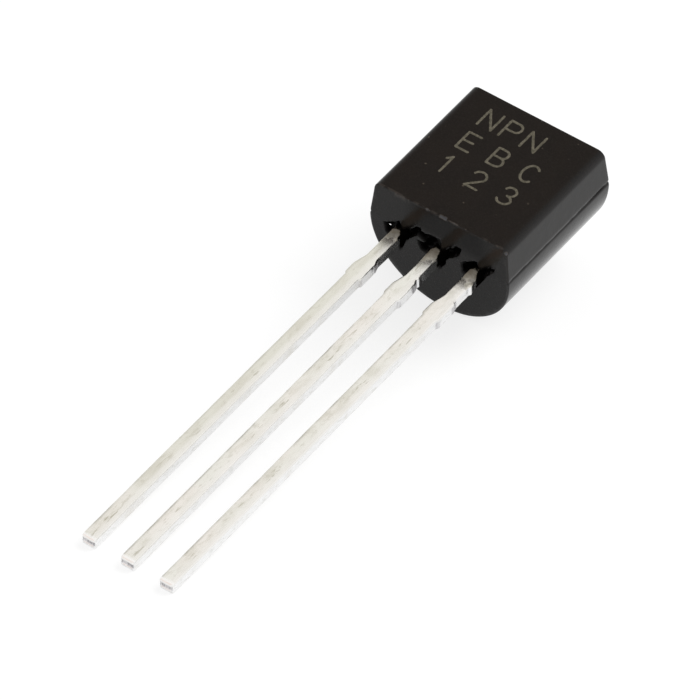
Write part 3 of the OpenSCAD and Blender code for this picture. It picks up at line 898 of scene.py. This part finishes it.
def add_glyph(lines, points, faces, height, level):
    """Meshes the area within half a stroke of the lines, from the clipped cells of a grid. The noise
    for its edge is read at level."""
    flat = np.array([p for line in lines for p in line])
    lo, hi = flat.min(0) - STROKE_W, flat.max(0) + STROKE_W
    xs, ys = np.arange(lo[0], hi[0], GRID), np.arange(lo[1], hi[1], GRID)
    gx, gy = np.meshgrid(xs, ys, indexing="ij")
    grid = np.column_stack([gx.ravel(), gy.ravel()])
    away = np.min([segment_distance(grid, a, b) for line in lines for a, b in zip(line, line[1:])], axis=0)
    ragged = rough(np.column_stack([grid, np.full(len(grid), level)]), 0.07, seed=50, octaves=2)
    depth = (STROKE_W / 2 * (1 + MARK_RAGGED * ragged) - away).reshape(gx.shape)
    made = {}

    def vertex(key, p, h):
        if key not in made:
            made[key] = len(points)
            points.append(p)
            height.append(h)
        return made[key]

    for i in range(len(xs) - 1):
        for j in range(len(ys) - 1):
            cell = [(i, j), (i + 1, j), (i + 1, j + 1), (i, j + 1)]
            face = []
            for a, b in zip(cell, cell[1:] + cell[:1]):
                in_a, in_b = depth[a], depth[b]
                pa, pb = (xs[a[0]], ys[a[1]]), (xs[b[0]], ys[b[1]])
                if in_a > 0:
                    face.append(vertex(a, pa, in_a))
                if (in_a > 0) != (in_b > 0):
                    t = in_a / (in_a - in_b)
                    between = (pa[0] + (pb[0] - pa[0]) * t, pa[1] + (pb[1] - pa[1]) * t)
                    face.append(vertex(tuple(sorted((a, b))), between, 0.0))
            if len(face) >= 3:
                faces.append(face)


# ---- The crumb of tin at the left lead's root ----

CRUMB_AT, CRUMB_SIZE = (-1.58, -0.01, -0.05), (0.068, 0.055, 0.048)
CRUMB_RINGS, CRUMB_SIDES = 6, 8
CRUMB_LUMP, CRUMB_GRAIN, CRUMB_SEED = 0.35, 1.7, Vector((2.0, 0.0, 0.0))


def crumb_piece(material):
    """One irregular lump, built as rings between two poles."""
    turns = [(math.pi * r / CRUMB_RINGS, 2 * math.pi * s / CRUMB_SIDES)
             for r in range(1, CRUMB_RINGS) for s in range(CRUMB_SIDES)]
    turns = [(0.0, 0.0)] + turns + [(math.pi, 0.0)]
    way = np.array([(math.sin(t) * math.cos(a), math.sin(t) * math.sin(a), math.cos(t)) for t, a in turns])
    lump = np.array([1 + CRUMB_LUMP * noise.noise(Vector(w * CRUMB_GRAIN) + CRUMB_SEED) for w in way])
    points = np.array(CRUMB_AT) + way * np.array(CRUMB_SIZE) / 2 * lump[:, None]
    n = len(points)
    last = (CRUMB_RINGS - 2) * CRUMB_SIDES
    faces = []
    for s in range(CRUMB_SIDES):
        a, b = 1 + s, 1 + (s + 1) % CRUMB_SIDES
        faces.append((0, a, b))
        for k in range(0, last, CRUMB_SIDES):
            faces.append((a + k, a + k + CRUMB_SIDES, b + k + CRUMB_SIDES, b + k))
        faces.append((a + last, n - 1, b + last))
    masks = {"across": np.ones(n), "deep": np.ones(n), "out": 2 * np.ones(n)}
    return mesh_piece("tin_crumb", points, faces, material, masks)


# ---- Build ----

moulding_paint, tin_paint, marking_paint = moulding(), tinned_lead(), marking()

body = body_piece(moulding_paint)
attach(body, "root")
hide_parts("body")

# Each lead's name, kind, X, CAD node, noise seed, Y of the tip, tarnish, and bumps on its neck
LEADS = (("emitter_lead_tinned", "emitter", -LEAD_PITCH, "emitter_lead", 61, -LEAD_L + 0.03, 0.85, ()),
         ("base_lead_tinned", "base", 0.0, "base_lead", 71, -LEAD_L + 0.02, 0.1, ((-1.2, -1.1, 0.03),)),
         ("collector_lead_tinned", "collector", LEAD_PITCH, "collector_lead", 81, -LEAD_L, 0.15,
          ((-0.62, -0.5, 0.06),)))
for name, kind, x, node, seed, tip, tarnish, bumps in LEADS:
    lead = lead_piece(name, kind, x, tin_paint, seed, tip, tarnish, bumps)
    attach(lead, "root")
    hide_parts(node)

tin_crumb = crumb_piece(tin_paint)
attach(tin_crumb, "root")

mark = marking_piece(marking_paint)
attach(mark, "root")

gold = gold_wire()
INNER_PAINTS = {"die_attach": silver_epoxy(), "die": silicon(), "base_wire": gold, "emitter_wire": gold}
for node, paint in INNER_PAINTS.items():
    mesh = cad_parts[node].data
    mesh.materials.clear()
    mesh.materials.append(paint)

# ---- Floor, light and camera ----

scene = bpy.context.scene


def floor_piece():
    corners = [(x * FLOOR_HALF, y * FLOOR_HALF, 0) for x, y in ((-1, -1), (1, -1), (1, 1), (-1, 1))]
    mesh = bpy.data.meshes.new("floor")
    mesh.from_pydata(corners, [], [(0, 1, 2, 3)])
    mesh.materials.append(floor_paint())
    floor = bpy.data.objects.new("floor", mesh)
    scene.collection.objects.link(floor)
    return floor


def studio_world():
    """A pale world: white to rays from the camera, gloss, metal and glass, and dimmer as a light. Gloss
    and metal also show the warm part of the room."""
    world = bpy.data.worlds.new("studio")
    world.use_nodes = True
    tree = world.node_tree
    new, link = tree.nodes.new, tree.links.new
    shade = tree.nodes["Background"]
    path = new("ShaderNodeLightPath").outputs
    toward = new("ShaderNodeVectorMath")
    toward.operation = "DOT_PRODUCT"
    link(new("ShaderNodeTexCoord").outputs["Generated"], toward.inputs[0])
    toward.inputs[1].default_value = ROOM_AT
    in_room = new("ShaderNodeMapRange")
    in_room.interpolation_type = "SMOOTHSTEP"
    link(toward.outputs["Value"], in_room.inputs["Value"])
    in_room.inputs["From Min"].default_value = math.cos(ROOM_OUTER)
    in_room.inputs["From Max"].default_value = math.cos(ROOM_INNER)
    link(path["Is Glossy Ray"], in_room.inputs["To Max"])
    room = new("ShaderNodeMix")
    room.data_type = "RGBA"
    link(in_room.outputs[0], room.inputs[0])
    room.inputs[6].default_value = (1, 1, 1, 1)
    room.inputs[7].default_value = ROOM_COLOUR + (1,)
    link(room.outputs[2], shade.inputs["Color"])
    shown = path["Is Camera Ray"]
    for ray in ("Is Glossy Ray", "Is Transmission Ray"):
        either = new("ShaderNodeMath")
        either.operation = "MAXIMUM"
        link(shown, either.inputs[0])
        link(path[ray], either.inputs[1])
        shown = either.outputs[0]
    level = new("ShaderNodeMapRange")
    link(shown, level.inputs["Value"])
    level.inputs["To Min"].default_value = WORLD_LIGHT
    level.inputs["To Max"].default_value = 1.0
    link(level.outputs[0], shade.inputs["Strength"])
    return world


def key_lamp():
    """A soft sun. Reflections show the pale surroundings and not the lamp."""
    light = bpy.data.lights.new("key", "SUN")
    light.energy = KEY_LIGHT
    light.angle = KEY_SOFTNESS
    key = bpy.data.objects.new("key", light)
    key.rotation_euler = Vector(KEY_FROM).to_track_quat("Z", "Y").to_euler()
    key.visible_glossy = False
    scene.collection.objects.link(key)


def view_camera():
    """The camera, looking at VIEW_AIM and rolled about its own axis."""
    az, el, roll = (math.radians(v) for v in (VIEW_AZIMUTH, VIEW_ELEVATION, VIEW_ROLL))
    back = Vector((math.sin(az) * math.cos(el), -math.cos(az) * math.cos(el), math.sin(el)))
    level = Vector((math.cos(az), math.sin(az), 0))
    upright = back.cross(level)
    right = math.cos(roll) * level + math.sin(roll) * upright
    up = math.cos(roll) * upright - math.sin(roll) * level
    place = Matrix((right, up, back)).transposed().to_4x4()
    place.translation = (Vector(VIEW_AIM) + VIEW_DISTANCE * back) * MM
    lens = bpy.data.cameras.new("camera")
    lens.lens = VIEW_LENS
    lens.sensor_width = VIEW_SENSOR
    lens.sensor_fit = "HORIZONTAL"
    lens.clip_start = VIEW_NEAR
    lens.clip_end = VIEW_FAR
    camera = bpy.data.objects.new("camera", lens)
    camera.matrix_world = place
    scene.collection.objects.link(camera)
    return camera


floor = floor_piece()
scene.world = studio_world()
key_lamp()
scene.camera = view_camera()
scene.view_settings.view_transform = "Standard"
